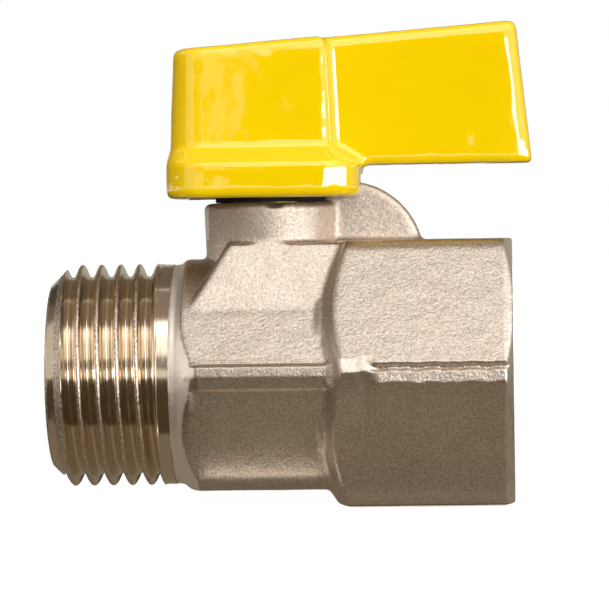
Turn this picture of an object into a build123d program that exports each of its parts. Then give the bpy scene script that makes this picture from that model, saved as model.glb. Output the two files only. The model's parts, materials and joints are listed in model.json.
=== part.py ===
from build123d import *
import math
import os

# Mini ball valve, male by female, in millimetres.
# The flow axis is X, from the male end at -X to the female port at +X, and the stem rises along +Z.
# The origin is the centre of the ball, where the stem axis meets the flow axis.

# Pipe ends: a half inch pipe thread, drawn plain at its major diameter
THREAD_D = 20.955
MALE_REACH = 20.9
MALE_CHAMFER = 1.85
MALE_BORE_D = 13.5
MALE_BORE_DEPTH = 9.4
PORT_REACH = 22.7
PORT_DEPTH = 11.6
PORT_CHAMFER = 0.7

# Flow bore, ball and seats
FLOW_BORE_D = 10.0
PASSAGE_CLEARANCE = 0.25
BALL_D = 15.8
BALL_EDGE = 0.3
BALL_CLEARANCE = 0.05
CAVITY_CLEARANCE = 0.45
SEAT_D = 15.2
SEAT_FRONT = 4.7
SEAT_BACK = 7.5
SEAT_CLEARANCE = 0.05

# Screwed joint between the male end and the body
JOINT_REACH = 9.4
JOINT_D = 18.0
JOINT_CLEARANCE = 0.05
COLLAR_D = 20.8

# Forged middle of the body: hexagon with flats above and below, and a round back over its upper flats
MIDDLE_FLATS = 21.8
MIDDLE_CORNER = 3.5
MIDDLE_START = 8.6
MIDDLE_SHOULDER_ANGLE = 43.0
SEAM_REACH = 12.25
SEAM_HEIGHT = 2.5
SEAM_EDGE = 0.3

# Forged hexagon round the female port
HEX_FLATS = 25.0
HEX_CORNER = 2.0
HEX_START = 4.95
HEX_SHOULDER_ANGLE = 56.0
HEX_SEAM_REACH = 13.85
HEX_CHAMFER_D = 25.2
HEX_CHAMFER_ANGLE = 62.0
HEX_SHOULDER_EDGE = 0.7

# Stem boss, the flat-sided pad under it, and the stop lug beside it
BOSS_TOP_D = 12.9
BOSS_ROOT_D = 12.5
BOSS_TOP = 16.15
BOSS_EDGE = 0.7
PAD_TOP = 12.3
PAD_START = 7.9
PAD_SIDE_ANGLE = 22.4
PAD_LEFT_TOP = 3.85
PAD_LEFT_ANGLE = 58.0
PAD_EDGE = 0.6
LUG_CENTRE_X = 7.0
LUG_CENTRE_Z = 10.7
LUG_RADIUS = 7.4
LUG_INNER_X = 5.0
LUG_THICKNESS = 3.6
LUG_EDGE = 0.5

# Stem, with its flange under the boss and its tang in the ball
STEM_D = 7.0
STEM_CLEARANCE = 0.05
FLANGE_D = 8.8
FLANGE_TOP = 9.65
FLANGE_THICKNESS = 1.35
FLANGE_CLEARANCE = 0.15
TANG_WIDTH = 3.0
TANG_LENGTH = 6.2
TANG_END = 5.9
TANG_CLEARANCE = 0.05
STEM_FLATS = 5.0
STEM_RISE = 6.5
WASHER_THICKNESS = 0.6
WASHER_CLEARANCE = 0.02
RING_SECTION_D = 1.0
RING_CLEARANCE = 0.025
GROOVE_WIDTH = 1.4
GROOVE_LOWER = 12.2
GROOVE_UPPER = 14.4

# Handle: skirt over the boss, hub round the stem, and one wing
HANDLE_GAP = 0.35
HANDLE_DRAFT = 2.5
SKIRT_LEFT = 9.62
SKIRT_RIGHT = 8.6
SKIRT_HALF_DEPTH = 8.3
SKIRT_CORNER = 3.6
SKIRT_HEIGHT = 3.3
SKIRT_WALL = 1.7
SKIRT_EDGE = 0.6
SKIRT_FOOT_EDGE = 0.65
SHOULDER_HEIGHT = 1.5
HUB_LEFT = 9.3
HUB_RIGHT = 6.0
HUB_HALF_DEPTH = 6.6
HUB_LEFT_CORNER = 3.0
HUB_RIGHT_CORNER = 0.8
HUB_ROOT_FILLET = 0.8
HUB_TOP = 31.25
TOP_SLOPE = 4.35
WING_BOTTOM = 19.48
WING_TIP = 24.75
WING_TIP_LEAN = 6.0
WING_THICKNESS = 4.6
WING_ROUND = 1.0
WING_ROOT_FILLET = 0.6
WING_BOTTOM_EDGE = 0.4
HANDLE_TOP_EDGE = 0.8
STOP_CLEARANCE = 0.15
LUG_HEADROOM = 0.45
SLEEVE_D = 9.2
HANDLE_FIT = 0.05
POCKET_DEPTH = 3.0

# Screw and split washer that hold the handle on the stem
SCREW_D = 4.0
SCREW_CLEARANCE = 0.05
SCREW_REACH = 5.2
SCREW_HOLE_DEPTH = 6.0
SCREW_HEAD_D = 7.4
SCREW_HEAD_HEIGHT = 2.6
SCREW_SLOT_WIDTH = 0.9
SCREW_SLOT_LENGTH = 4.2
SCREW_SLOT_DEPTH = 1.3
LOCK_WASHER_D = 7.2
LOCK_WASHER_THICKNESS = 0.9
LOCK_WASHER_SPLIT = 0.8
RECESS_D = 8.6
RECESS_EDGE = 0.4
WEB_OVER_STEM = 0.4

# A size beyond the whole valve, for cutting tools
BEYOND = 3 * (MALE_REACH + PORT_REACH)

# Radii and levels that several pieces share
passage_r = FLOW_BORE_D / 2 + PASSAGE_CLEARANCE
ball_r = BALL_D / 2
cavity_r = ball_r + CAVITY_CLEARANCE
seat_r = SEAT_D / 2
joint_bore_r = JOINT_D / 2 + JOINT_CLEARANCE
collar_r = COLLAR_D / 2
stem_r = STEM_D / 2
stem_bore_r = stem_r + STEM_CLEARANCE
flange_r = FLANGE_D / 2
pocket_r = flange_r + FLANGE_CLEARANCE
washer_top = FLANGE_TOP + WASHER_THICKNESS + 2 * WASHER_CLEARANCE
groove_r = stem_bore_r - RING_SECTION_D - 2 * RING_CLEARANCE
skirt_bottom = BOSS_TOP + HANDLE_GAP
skirt_top = skirt_bottom + SKIRT_HEIGHT
shoulder_top = skirt_top + SHOULDER_HEIGHT
stem_top = skirt_bottom + STEM_RISE
web_top = stem_top + WEB_OVER_STEM
head_seat = web_top + LOCK_WASHER_THICKNESS
lug_top = LUG_CENTRE_Z + LUG_RADIUS
inside_hex = (HEX_START + PORT_REACH) / 2


def turned(outline):
    """Revolve a closed outline of (x, radius) points about the flow axis."""
    return revolve(Plane.XZ * make_face(Polyline(*outline, close=True)), Axis.X)


def lathed(outline):
    """Revolve a closed outline of (radius, z) points about the stem axis."""
    return revolve(Plane.XZ * make_face(Polyline(*outline, close=True)), Axis.Z)


def post(radius, bottom, top):
    """A round bar along the stem axis, between two levels."""
    return Pos(0, 0, (bottom + top) / 2) * Cylinder(radius, top - bottom)


def along_flow(section, start, end):
    """Extrude a section drawn in Y and Z between two places on the flow axis."""
    return extrude(Plane.YZ.offset(start) * section, end - start)


def seam_edges(solid, reach):
    """The long edges of the trimmed forging seam, which runs along the front and back corners."""
    edges = solid.edges().filter_by(Axis.X)
    return edges.filter_by(lambda edge: abs(abs(edge.center().Y) - reach) < SEAM_EDGE / 10)


def middle_section():
    """Half a hexagon below, a round back above, and the seam of the forging at front and back."""
    half = MIDDLE_FLATS / 2
    corner = MIDDLE_FLATS / math.sqrt(3)
    tangent_y = half * math.cos(math.radians(30))
    tangent_z = half * math.sin(math.radians(30))
    lower_right = (corner / 2, -half)
    lower_left = (-corner / 2, -half)
    sides = [
        Line(lower_left, lower_right),
        Line(lower_right, (corner, 0)),
        Line((corner, 0), (tangent_y, tangent_z)),
        ThreePointArc((tangent_y, tangent_z), (0, half), (-tangent_y, tangent_z)),
        Line((-tangent_y, tangent_z), (-corner, 0)),
        Line((-corner, 0), lower_left),
    ]
    section = make_face(sides)
    section = fillet(section.vertices().sort_by(Axis.Y)[:2], MIDDLE_CORNER)
    section = section & Rectangle(2 * SEAM_REACH, 2 * MIDDLE_FLATS)
    return section + Rectangle(2 * SEAM_REACH, SEAM_HEIGHT)


def forged_middle():
    """The middle hexagon, with the shoulder that is turned on it at the male side."""
    middle = along_flow(middle_section(), -MIDDLE_START, inside_hex)
    middle = fillet(seam_edges(middle, SEAM_REACH), SEAM_EDGE)
    rise = SEAM_REACH + SEAM_EDGE - collar_r
    run = rise / math.tan(math.radians(MIDDLE_SHOULDER_ANGLE))
    shoulder = turned(
        [
            (-MIDDLE_START, 0),
            (-MIDDLE_START, collar_r),
            (-MIDDLE_START + run, collar_r + rise),
            (PORT_REACH, collar_r + rise),
            (PORT_REACH, 0),
        ]
    )
    neck = turned([(-JOINT_REACH, 0), (-JOINT_REACH, collar_r), (0, collar_r), (0, 0)])
    return (middle & shoulder) + neck


def forged_hexagon():
    """The hexagon round the female port, with a turned shoulder and a turned end chamfer."""
    corner = HEX_FLATS / math.sqrt(3)
    section = RegularPolygon(corner, 6)
    tops = section.vertices().filter_by(lambda vertex: abs(vertex.Y) > HEX_FLATS / 4)
    section = fillet(tops, HEX_CORNER) & Rectangle(2 * HEX_SEAM_REACH, 2 * HEX_FLATS)
    prism = along_flow(section, HEX_START, PORT_REACH)
    waist_r = MIDDLE_FLATS / 2
    shoulder_run = (corner - waist_r) / math.tan(math.radians(HEX_SHOULDER_ANGLE))
    chamfer_r = HEX_CHAMFER_D / 2
    chamfer_run = (corner - chamfer_r) / math.tan(math.radians(HEX_CHAMFER_ANGLE))
    envelope = turned(
        [
            (HEX_START, 0),
            (HEX_START, waist_r),
            (HEX_START + shoulder_run, corner),
            (PORT_REACH - chamfer_run, corner),
            (PORT_REACH, chamfer_r),
            (PORT_REACH, 0),
        ]
    )
    hexagon = prism & envelope
    first_x = HEX_START + HEX_SHOULDER_EDGE / 10
    cut_edges = hexagon.edges().filter_by(Axis.X, reverse=True)
    cut_edges = cut_edges.filter_by(lambda edge: first_x < edge.position_at(0.5).X < inside_hex)
    return fillet(cut_edges, HEX_SHOULDER_EDGE)


def stem_pad():
    """The flat-sided block under the boss, cut on a slant towards the male end."""
    side_run = PAD_TOP * math.tan(math.radians(PAD_SIDE_ANGLE))
    top_half = BOSS_TOP_D / 2
    cross = make_face(
        Polyline(
            (-top_half - side_run, 0),
            (top_half + side_run, 0),
            (top_half, PAD_TOP),
            (-top_half, PAD_TOP),
            close=True,
        )
    )
    block = along_flow(cross, -PAD_START, inside_hex)
    left_run = PAD_TOP / math.tan(math.radians(PAD_LEFT_ANGLE))
    side = Plane.XZ * make_face(
        Polyline(
            (-PAD_LEFT_TOP - left_run, 0),
            (PORT_REACH, 0),
            (PORT_REACH, PAD_TOP),
            (-PAD_LEFT_TOP, PAD_TOP),
            close=True,
        )
    )
    block = block & extrude(side, BEYOND, both=True)
    slanted = block.edges().filter_by(lambda edge: edge.center().X < -PAD_LEFT_TOP / 2)
    slanted = slanted.filter_by(lambda edge: edge.center().Z > PAD_EDGE)
    return fillet(slanted, PAD_EDGE)


def stem_boss():
    """The round boss that the stem comes out of, a little wider at its top."""
    boss = lathed(
        [
            (0, 0),
            (BOSS_ROOT_D / 2, 0),
            (BOSS_ROOT_D / 2, MIDDLE_FLATS / 2),
            (BOSS_TOP_D / 2, BOSS_TOP),
            (0, BOSS_TOP),
        ]
    )
    return fillet(boss.edges().sort_by(Axis.Z)[-1], BOSS_EDGE)


def stop_lug():
    """The upright quarter-round web that stops the handle at open and at closed."""
    end_x = LUG_CENTRE_X + LUG_RADIUS
    quarter = math.sqrt(0.5) * LUG_RADIUS
    outline = [
        Line((LUG_INNER_X, 0), (LUG_INNER_X, lug_top)),
        Line((LUG_INNER_X, lug_top), (LUG_CENTRE_X, lug_top)),
        ThreePointArc(
            (LUG_CENTRE_X, lug_top),
            (LUG_CENTRE_X + quarter, LUG_CENTRE_Z + quarter),
            (end_x, LUG_CENTRE_Z),
        ),
        Line((end_x, LUG_CENTRE_Z), (end_x, 0)),
        Line((end_x, 0), (LUG_INNER_X, 0)),
    ]
    web = extrude(Plane.XZ * make_face(outline), LUG_THICKNESS / 2, both=True)
    rims = web.edges().filter_by(lambda edge: abs(edge.center().Y) > LUG_THICKNESS / 4)
    rims = rims.filter_by(lambda edge: edge.center().X > LUG_INNER_X + LUG_EDGE)
    rims = rims.filter_by(lambda edge: edge.center().Z > LUG_EDGE)
    return fillet(rims, LUG_EDGE)


def valve_body():
    """The forging, then the bores that are turned in it from both ends and from the top."""
    forging = forged_middle() + forged_hexagon() + stem_pad() + stem_boss() + stop_lug()
    port = turned(
        [
            (PORT_REACH - PORT_DEPTH, 0),
            (PORT_REACH - PORT_DEPTH, THREAD_D / 2),
            (PORT_REACH - PORT_CHAMFER, THREAD_D / 2),
            (PORT_REACH, THREAD_D / 2 + PORT_CHAMFER),
            (PORT_REACH, 0),
        ]
    )
    chamber = turned(
        [
            (-JOINT_REACH, 0),
            (-JOINT_REACH, joint_bore_r),
            (-SEAT_FRONT + SEAT_CLEARANCE, joint_bore_r),
            (-SEAT_FRONT + SEAT_CLEARANCE, cavity_r),
            (SEAT_FRONT, cavity_r),
            (SEAT_FRONT, seat_r + SEAT_CLEARANCE),
            (SEAT_BACK + SEAT_CLEARANCE, seat_r + SEAT_CLEARANCE),
            (SEAT_BACK + SEAT_CLEARANCE, passage_r),
            (PORT_REACH, passage_r),
            (PORT_REACH, 0),
        ]
    )
    stem_hole = post(pocket_r, 0, washer_top) + post(stem_bore_r, 0, BEYOND)
    return forging - port - chamber - stem_hole


def male_end():
    """The turned end: thread, collar, and the spigot that screws into the body and carries a seat."""
    taper_end = -MALE_REACH + MALE_BORE_DEPTH
    taper_run = MALE_BORE_D / 2 - passage_r
    return turned(
        [
            (-MALE_REACH, MALE_BORE_D / 2),
            (-MALE_REACH, THREAD_D / 2 - MALE_CHAMFER),
            (-MALE_REACH + MALE_CHAMFER, THREAD_D / 2),
            (-JOINT_REACH, THREAD_D / 2),
            (-JOINT_REACH, JOINT_D / 2),
            (-SEAT_FRONT, JOINT_D / 2),
            (-SEAT_FRONT, seat_r + SEAT_CLEARANCE),
            (-SEAT_BACK - SEAT_CLEARANCE, seat_r + SEAT_CLEARANCE),
            (-SEAT_BACK - SEAT_CLEARANCE, passage_r),
            (taper_end + taper_run, passage_r),
            (taper_end, MALE_BORE_D / 2),
        ]
    )


def seat_ring():
    """The seat ring on the outlet side of the ball, hollowed to the ball's own curve."""
    hollow_r = ball_r + BALL_CLEARANCE
    lip_r = math.sqrt(hollow_r**2 - SEAT_FRONT**2)
    throat_x = math.sqrt(hollow_r**2 - passage_r**2)
    middle_angle = (math.atan2(lip_r, SEAT_FRONT) + math.atan2(passage_r, throat_x)) / 2
    outline = [
        ThreePointArc(
            (SEAT_FRONT, lip_r),
            (hollow_r * math.cos(middle_angle), hollow_r * math.sin(middle_angle)),
            (throat_x, passage_r),
        ),
        Polyline(
            (throat_x, passage_r),
            (SEAT_BACK, passage_r),
            (SEAT_BACK, seat_r),
            (SEAT_FRONT, seat_r),
            (SEAT_FRONT, lip_r),
        ),
    ]
    return revolve(Plane.XZ * make_face(outline), Axis.X)


def ball():
    """The ball, with its flow bore and the slot across its top for the stem's tang."""
    bore_r = FLOW_BORE_D / 2
    mouth_x = math.sqrt(ball_r**2 - bore_r**2)
    half = make_face(
        [
            Line((-mouth_x, bore_r), (mouth_x, bore_r)),
            ThreePointArc((mouth_x, bore_r), (0, ball_r), (-mouth_x, bore_r)),
        ]
    )
    bored = revolve(Plane.XZ * fillet(half.vertices(), BALL_EDGE), Axis.X)
    floor_z = TANG_END - TANG_CLEARANCE
    slot_width = TANG_WIDTH + 2 * TANG_CLEARANCE
    slot = Pos(0, 0, floor_z + BALL_D / 2) * Box(slot_width, BEYOND, BALL_D)
    return bored - slot


def stem():
    """The stem: tang, flange, two ring grooves, and flats with a tapped hole for the handle."""
    shaft = post(stem_r, FLANGE_TOP, stem_top) + post(flange_r, FLANGE_TOP - FLANGE_THICKNESS, FLANGE_TOP)
    for level in (GROOVE_LOWER, GROOVE_UPPER):
        groove = post(BEYOND, level - GROOVE_WIDTH / 2, level + GROOVE_WIDTH / 2)
        shaft = shaft - (groove - post(groove_r, 0, BEYOND))
    flats = Pos(0, 0, skirt_bottom + BEYOND / 2) * (
        Box(BEYOND, BEYOND, BEYOND) - Box(BEYOND, STEM_FLATS, BEYOND)
    )
    tang_top = FLANGE_TOP - FLANGE_THICKNESS / 2
    tang = Pos(0, 0, (TANG_END + tang_top) / 2) * Box(TANG_WIDTH, TANG_LENGTH, tang_top - TANG_END)
    tapped = post(SCREW_D / 2 + SCREW_CLEARANCE, stem_top - SCREW_HOLE_DEPTH, BEYOND)
    return shaft - flats - tapped + tang


def stem_thrust_washer():
    """The flat ring that the stem's flange pulls up against."""
    bottom = FLANGE_TOP + WASHER_CLEARANCE
    disc = post(flange_r, bottom, bottom + WASHER_THICKNESS)
    return disc - post(stem_bore_r, 0, BEYOND)


def stem_ring(level):
    """A rubber ring in one of the stem's grooves."""
    middle_r = groove_r + RING_CLEARANCE + RING_SECTION_D / 2
    return Pos(0, 0, level) * Torus(middle_r, RING_SECTION_D / 2)


def skirt_plan(inset):
    """The skirt's outline from above, drawn inside itself by a wall."""
    length = SKIRT_LEFT + SKIRT_RIGHT - 2 * inset
    middle = (SKIRT_RIGHT - SKIRT_LEFT) / 2
    outline = RectangleRounded(length, 2 * (SKIRT_HALF_DEPTH - inset), SKIRT_CORNER - inset)
    return Pos(middle, 0) * outline


def hub_plan():
    """The hub's outline from above, round at the left and tight at the wing's side."""
    outline = Pos((HUB_RIGHT - HUB_LEFT) / 2, 0) * Rectangle(HUB_RIGHT + HUB_LEFT, 2 * HUB_HALF_DEPTH)
    outline = fillet(outline.vertices().sort_by(Axis.X)[:2], HUB_LEFT_CORNER)
    return fillet(outline.vertices().sort_by(Axis.X)[-2:], HUB_RIGHT_CORNER)


def wing():
    """The single wing, a flat plate with a leaning tip."""
    lean_run = (BEYOND - WING_BOTTOM) * math.tan(math.radians(WING_TIP_LEAN))
    side = Plane.XZ * make_face(
        Polyline(
            (0, WING_BOTTOM),
            (WING_TIP, WING_BOTTOM),
            (WING_TIP - lean_run, BEYOND),
            (0, BEYOND),
            close=True,
        )
    )
    plate = extrude(side, WING_THICKNESS / 2, both=True)
    tip = plate.edges().filter_by(lambda edge: edge.center().Z > 2 * WING_BOTTOM and edge.length < BEYOND)
    plate = fillet(tip.sort_by(Axis.X)[-2:], WING_ROUND)
    under = plate.faces().sort_by(Axis.Z)[0]
    rims = under.edges().filter_by(lambda edge: edge.center().X > WING_THICKNESS)
    return fillet(rims, WING_BOTTOM_EDGE)


def above_slope():
    """The space above the handle's top, which rises from the hub to the wing's tip."""
    slope = Plane(origin=(0, 0, HUB_TOP), z_dir=(0, 0, 1)).rotated((0, -TOP_SLOPE, 0))
    return extrude(slope * Rectangle(BEYOND, BEYOND), BEYOND)


def lever_hub():
    """Skirt, sloping shoulder and hub, with the draft of a casting."""
    skirt = extrude(Plane.XY.offset(skirt_bottom) * skirt_plan(0), SKIRT_HEIGHT)
    shoulder_base = Plane.XY.offset(skirt_top) * skirt_plan(0)
    hub_base = Plane.XY.offset(shoulder_top) * hub_plan()
    shoulder = loft([shoulder_base, hub_base], ruled=True)
    hub = extrude(hub_base, 2 * (HUB_TOP - shoulder_top), taper=HANDLE_DRAFT)
    lever = skirt + shoulder + hub
    rim = lever.edges().filter_by(lambda edge: abs(edge.center().Z - skirt_top) < SKIRT_EDGE / 10)
    lever = fillet(rim, SKIRT_EDGE)
    root = lever.edges().filter_by(lambda edge: abs(edge.center().Z - shoulder_top) < SKIRT_EDGE / 10)
    lever = fillet(root, HUB_ROOT_FILLET)
    foot = lever.edges().filter_by(lambda edge: abs(edge.center().Z - skirt_bottom) < SKIRT_EDGE / 10)
    return fillet(foot, SKIRT_FOOT_EDGE)


def lever_casting():
    """The hub and the wing in one casting, cut to the sloping top, with its edges rounded."""
    casting = lever_hub() + wing() - above_slope()
    half_thickness = WING_THICKNESS / 2
    upright = casting.edges().filter_by(lambda edge: edge.length > (HUB_TOP - shoulder_top) / 2)
    corners = upright.filter_by(lambda edge: abs(abs(edge.center().Y) - half_thickness) < SKIRT_EDGE / 10)
    corners = corners.filter_by(lambda edge: edge.center().X < HUB_RIGHT)
    casting = fillet(corners, WING_ROOT_FILLET)
    top = casting.faces().sort_by(Axis.Z)[-1]
    return fillet(top.edges(), HANDLE_TOP_EDGE)


def handle():
    """The lever, hollow under its skirt, with room for the lug over the quarter turn."""
    sleeve = post(SLEEVE_D / 2, 0, BEYOND)
    pocket = extrude(Plane.XY.offset(skirt_bottom) * skirt_plan(SKIRT_WALL), POCKET_DEPTH)
    side = -LUG_THICKNESS / 2 - STOP_CLEARANCE
    sweep_top = lug_top + LUG_HEADROOM
    sweep = Pos(side + BEYOND / 2, side + BEYOND / 2, sweep_top / 2) * Box(BEYOND, BEYOND, sweep_top)
    keyhole = post(stem_r + HANDLE_FIT, 0, web_top) & Box(BEYOND, STEM_FLATS + 2 * HANDLE_FIT, BEYOND)
    recess = post(RECESS_D / 2, web_top, BEYOND)
    lever = lever_casting() - (pocket - sleeve) - (sweep - sleeve) - keyhole - recess
    mouth = lever.edges().filter_by(GeomType.ELLIPSE).sort_by(SortBy.LENGTH)[-1]
    return chamfer(mouth, RECESS_EDGE)


def handle_lock_washer():
    """The split spring washer between the screw's head and the handle."""
    disc = post(LOCK_WASHER_D / 2, web_top, head_seat) - post(SCREW_D / 2 + SCREW_CLEARANCE, 0, BEYOND)
    split = Pos(0, LOCK_WASHER_D / 2, web_top) * Box(LOCK_WASHER_SPLIT, LOCK_WASHER_D, BEYOND)
    return disc - split


def handle_screw():
    """The screw with a domed head and a cross recess."""
    head_r = SCREW_HEAD_D / 2
    head = post(head_r, head_seat, head_seat + SCREW_HEAD_HEIGHT)
    head = fillet(head.edges().sort_by(Axis.Z)[-1], SCREW_HEAD_HEIGHT / 2)
    shank = post(SCREW_D / 2, stem_top - SCREW_REACH, head_seat)
    slot_z = head_seat + SCREW_HEAD_HEIGHT - SCREW_SLOT_DEPTH / 2
    slot = Pos(0, 0, slot_z) * Box(SCREW_SLOT_LENGTH, SCREW_SLOT_WIDTH, SCREW_SLOT_DEPTH)
    return head + shank - slot - Rot(0, 0, 90) * slot


pieces = {
    "valve_body": valve_body(),
    "male_end": male_end(),
    "ball": ball(),
    "seat_ring_inlet": Rot(0, 0, 180) * seat_ring(),
    "seat_ring_outlet": seat_ring(),
    "stem": stem(),
    "stem_thrust_washer": stem_thrust_washer(),
    "stem_o_ring_lower": stem_ring(GROOVE_LOWER),
    "stem_o_ring_upper": stem_ring(GROOVE_UPPER),
    "handle": handle(),
    "handle_lock_washer": handle_lock_washer(),
    "handle_screw": handle_screw(),
}

os.makedirs("parts", exist_ok=True)
for node, shape in pieces.items():
    export_step(shape, "parts/" + node + ".step")
    print(node, round(shape.volume, 1))
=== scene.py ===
# %% [markdown]
# # Half inch mini ball valve
#
# This lesson dresses a small ball valve for pipes: a forged body, a turned pipe thread and a painted lever.
# The frame gives every piece at its real size, in metres, so nothing has to be fitted here.
# The steps add what a plain solid leaves out: the soft skin of a forging, real threads and real finishes.

# %% Load the frame
import json
import math

import bmesh
import bpy
import numpy as np
from mathutils import Matrix, Vector


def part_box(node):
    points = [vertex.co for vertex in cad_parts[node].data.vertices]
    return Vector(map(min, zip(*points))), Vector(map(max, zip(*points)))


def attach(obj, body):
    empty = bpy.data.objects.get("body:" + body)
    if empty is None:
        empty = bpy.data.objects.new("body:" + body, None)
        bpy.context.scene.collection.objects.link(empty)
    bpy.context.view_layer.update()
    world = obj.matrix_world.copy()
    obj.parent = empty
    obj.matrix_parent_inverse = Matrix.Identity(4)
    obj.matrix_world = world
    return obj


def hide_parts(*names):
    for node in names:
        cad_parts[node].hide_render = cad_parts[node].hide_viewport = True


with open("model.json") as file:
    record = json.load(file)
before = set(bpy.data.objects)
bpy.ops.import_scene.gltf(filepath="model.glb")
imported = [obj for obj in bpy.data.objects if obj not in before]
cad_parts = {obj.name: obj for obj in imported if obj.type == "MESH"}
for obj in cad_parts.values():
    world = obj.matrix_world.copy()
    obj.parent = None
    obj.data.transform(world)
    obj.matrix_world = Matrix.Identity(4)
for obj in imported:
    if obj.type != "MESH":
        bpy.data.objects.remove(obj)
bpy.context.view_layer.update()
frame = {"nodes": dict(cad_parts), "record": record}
nodes = frame["nodes"]
MM = 0.001

# %% [markdown]
# ## Two small helpers
#
# Every tree below, for a finish or for a shape, is made of nodes. One function adds a node, gives it its
# settings and links its inputs. Colours are written as they look on a screen, as sRGB hex values,
# and one function turns them into the linear numbers that Blender reckons with.


# %% Helpers for nodes and colours
def add(tree, kind, inputs=None, **settings):
    """Add a node with its settings. An input takes a value, a socket, or a node's first output."""
    made = tree.nodes.new(kind)
    for name, value in settings.items():
        setattr(made, name, value)
    for key, value in (inputs or {}).items():
        if isinstance(value, bpy.types.Node):
            value = next(socket for socket in value.outputs if socket.enabled)
        if isinstance(value, bpy.types.NodeSocket):
            tree.links.new(value, made.inputs[key])
        else:
            made.inputs[key].default_value = value
    return made


def colour(code):
    """The linear colour of an sRGB hex value such as #F5D000."""
    channels = [int(code[place : place + 2], 16) / 255 for place in (1, 3, 5)]
    linear = [c / 12.92 if c <= 0.04045 else ((c + 0.055) / 1.055) ** 2.4 for c in channels]
    return (*linear, 1.0)


# %% [markdown]
# ## Camera
#
# The photograph looks at the side of the valve from far away with a long lens, almost level, and a little
# from the right. The distance and the scale set the lens, so the object's own size decides the framing.

# %% Camera
PHOTO_WIDTH = 609
PIXELS_PER_MM = 10.557
CAMERA_DISTANCE = 380 * MM
CAMERA_TURN = math.radians(3.0)
CAMERA_RISE = math.radians(0.8)
CAMERA_ROLL = math.radians(-0.84)
CAMERA_AIM = Vector((2.98, 0.0, 7.24)) * MM
SENSOR = 36.0

lens = bpy.data.cameras.new("camera")
lens.sensor_width = SENSOR
lens.lens = SENSOR * CAMERA_DISTANCE / (PHOTO_WIDTH / PIXELS_PER_MM * MM)
lens.clip_start = 10 * MM
camera = bpy.data.objects.new("camera", lens)
bpy.context.scene.collection.objects.link(camera)
level = math.cos(CAMERA_RISE)
towards = Vector((math.sin(CAMERA_TURN) * level, -math.cos(CAMERA_TURN) * level, math.sin(CAMERA_RISE)))
camera.location = CAMERA_AIM + CAMERA_DISTANCE * towards
facing = (-towards).to_track_quat("-Z", "Y").to_matrix() @ Matrix.Rotation(CAMERA_ROLL, 3, "Z")
camera.rotation_euler = facing.to_euler()
bpy.context.scene.camera = camera
bpy.context.scene.view_settings.view_transform = "Standard"
print("lens", round(lens.lens, 1), "mm")

# %% [markdown]
# ## Studio
#
# The valve stands on a pale floor in front of white. Metal and gloss show whatever is around them, so their
# form comes from what they reflect: two banks of light in front and above, a strip low on either side, cards
# that keep the other sides dim, and dark cards over the floor. A card round the valve has one strength in
# mirrors and another as light on paint. A flag is an upright card that only mirrors see: it keeps the paint
# from showing the lights as a white haze. None of these is in the camera's sight.
# The floor glows for the camera and for mirrors, and takes the shadow.

# %% Floor, world, cards and lights
FLOOR_SIZE = 6.0
FLOOR_GLOW = 0.96
FLOOR_WHITE = "#9C9A97"
WORLD_FILL = 0.85
STAGE_DISTANCE = 600 * MM
CARD_DISTANCE = 660 * MM
FLAG_Y = -150
FLAG_EDGE = -15.7
FLAG_STEP = 2.1
FLAG_GRADES = ("#B0A79D", "#7A7269", "#423D37")


def see_background(tree):
    """One for the camera's rays and for rays that a mirror or glass sends on."""
    path = add(tree, "ShaderNodeLightPath").outputs
    seen = {0: path["Is Camera Ray"], 1: path["Is Glossy Ray"]}
    seen = {0: add(tree, "ShaderNodeMath", seen, operation="MAXIMUM"), 1: path["Is Transmission Ray"]}
    return add(tree, "ShaderNodeMath", seen, operation="MAXIMUM")


def flat_sheet(name, width, depth):
    """A flat rectangle in the XY plane, centred on the origin."""
    right, back = width / 2, depth / 2
    mesh = bpy.data.meshes.new(name)
    corners = [(-right, -back, 0), (right, -back, 0), (right, back, 0), (-right, back, 0)]
    mesh.from_pydata(corners, [], [range(4)])
    sheet = bpy.data.objects.new(name, mesh)
    bpy.context.scene.collection.objects.link(sheet)
    return sheet


def across(angle, distance):
    """How wide a panel is that fills an angle, in degrees, from a distance."""
    return 2 * distance * math.tan(math.radians(angle / 2))


def faces_valve(thing, azimuth, elevation, distance):
    """Put a light or a card round the valve, facing it. Azimuth runs from the camera's side towards +X."""
    turn, rise = math.radians(azimuth), math.radians(elevation)
    direction = Vector((math.sin(turn) * math.cos(rise), -math.cos(turn) * math.cos(rise), math.sin(rise)))
    thing.location = direction * distance
    thing.rotation_euler = (-direction).to_track_quat("-Z", "Y").to_euler()
    thing.visible_camera = False


def glowing(name, code, strength, fill):
    """A card that gives off one even colour. In mirrors it has one strength, as light on paint another."""
    paper = bpy.data.materials.new(name)
    paper.use_nodes = True
    tree = paper.node_tree
    tree.nodes.clear()
    glow = {"Value": see_background(tree), "To Min": fill, "To Max": strength}
    glow = add(tree, "ShaderNodeMapRange", glow)
    shine = add(tree, "ShaderNodeEmission", {"Color": colour(code), "Strength": glow})
    add(tree, "ShaderNodeOutputMaterial", {"Surface": shine})
    return paper


def card(name, azimuth, elevation, wide, tall, code, fill=1.0):
    """A card round the valve: its width and height are angles seen from the valve, in degrees."""
    sheet = flat_sheet(name, across(wide, CARD_DISTANCE), across(tall, CARD_DISTANCE))
    faces_valve(sheet, azimuth, elevation, CARD_DISTANCE)
    sheet.data.materials.append(glowing(name, code, 1.0, fill))


def floor_card(name, place, wide, deep, height, code, strength=1.0):
    """A card that lies just over the floor and leaves the shadow there as it is. Sizes are in millimetres."""
    sheet = flat_sheet(name, wide * MM, deep * MM)
    sheet.location = (place[0] * MM, place[1] * MM, floor.location.z + height * MM)
    sheet.visible_camera = False
    sheet.visible_shadow = False
    sheet.data.materials.append(glowing(name, code, strength, strength))


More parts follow.
